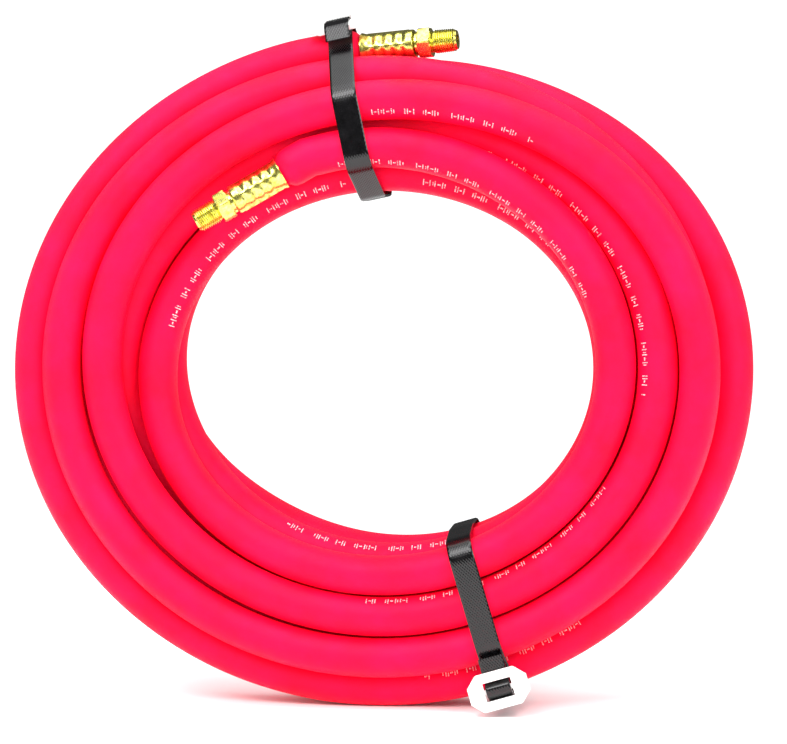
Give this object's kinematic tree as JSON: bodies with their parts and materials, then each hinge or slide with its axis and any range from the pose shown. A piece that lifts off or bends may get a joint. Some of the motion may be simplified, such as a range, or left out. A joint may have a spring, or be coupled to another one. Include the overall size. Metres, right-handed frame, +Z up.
{
  "type": "coiled air hose",
  "caption": "Coil of rubber air hose standing on edge, tied with plastic straps and buckles, with crimped brass male thread fittings on its ends.",
  "frame": {"origin": "middle of the object's box on the surface that the coil stands on", "axes": "+Z up, +X along the coil's width, to the right as seen from its front, and +Y along the coil's axis, from its front to its back"},
  "size_m": [0.332, 0.0796, 0.3135],
  "materials": {
    "red_rubber": "satin red cover with a fine cloth grain",
    "brass": "bright turned brass with crimp marks",
    "black_plastic": "black embossed strapping",
    "white_plastic": "white moulded plastic"
  },
  "bodies": {
    "root": {"hose": "red_rubber", "front_ferrule": "brass", "front_stem": "brass", "top_ferrule": "brass", "top_stem": "brass", "top_strap": "black_plastic", "bottom_strap": "black_plastic", "top_buckle": "white_plastic", "bottom_buckle": "white_plastic"}
  },
  "joints": []
}
